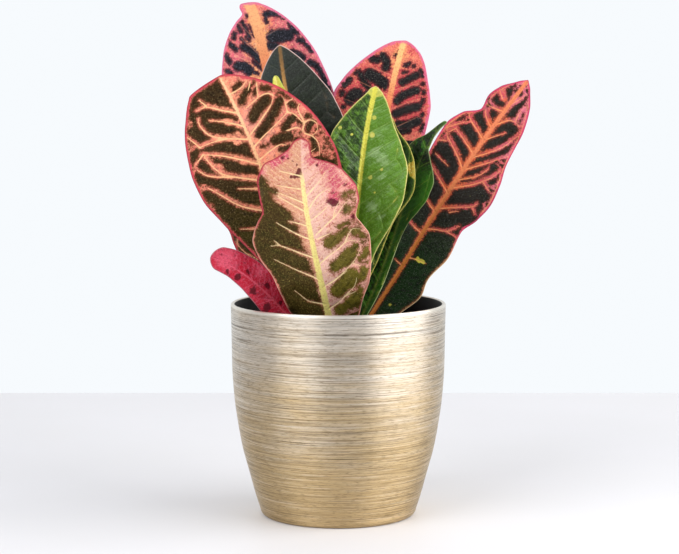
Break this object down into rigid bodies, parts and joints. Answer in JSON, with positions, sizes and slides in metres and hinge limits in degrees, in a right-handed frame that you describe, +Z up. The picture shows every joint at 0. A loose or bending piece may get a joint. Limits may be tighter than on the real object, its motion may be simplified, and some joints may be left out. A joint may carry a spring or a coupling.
{
  "type": "potted croton",
  "caption": "Young croton with broad colourful leaves, rooted in a black grower's pot that stands loose inside a gold metal cover pot.",
  "frame": {"origin": "middle of the flat foot of the cover pot, where it stands on the table", "axes": "+Z up, +X to the right and -Y towards the viewer when the plant shows its best side"},
  "size_m": [0.194, 0.1662, 0.2862],
  "materials": {
    "pot_metal": "brushed, warm pale gold with horizontal streaks",
    "black_plastic": "thin moulded plastic, slightly rough",
    "soil": "loose peat with bark crumbs",
    "bark": "grey-brown bark with leaf scars",
    "leaf_pink": "semi-gloss, pink and cream with olive patches",
    "leaf_red_veined": "semi-gloss, dark olive with orange to crimson veins",
    "leaf_green": "glossy green with a yellow midrib and margin",
    "leaf_young": "soft yellow-green",
    "leaf_dark": "semi-gloss very dark green with an amber midrib"
  },
  "bodies": {
    "root": {"pot": "pot_metal", "grower_pot": "black_plastic", "soil": "soil", "stem": "bark", "leaf_front": "leaf_pink", "leaf_small": "leaf_pink", "leaf_left": "leaf_red_veined", "leaf_right": "leaf_red_veined", "leaf_back_right": "leaf_red_veined", "leaf_back_left": "leaf_red_veined", "leaf_rear": "leaf_red_veined", "leaf_rear_left": "leaf_red_veined", "leaf_rear_right": "leaf_red_veined", "leaf_green": "leaf_green", "leaf_behind": "leaf_green", "leaf_folded": "leaf_green", "leaf_low": "leaf_green", "leaf_young": "leaf_young", "leaf_dark": "leaf_dark"}
  },
  "joints": []
}
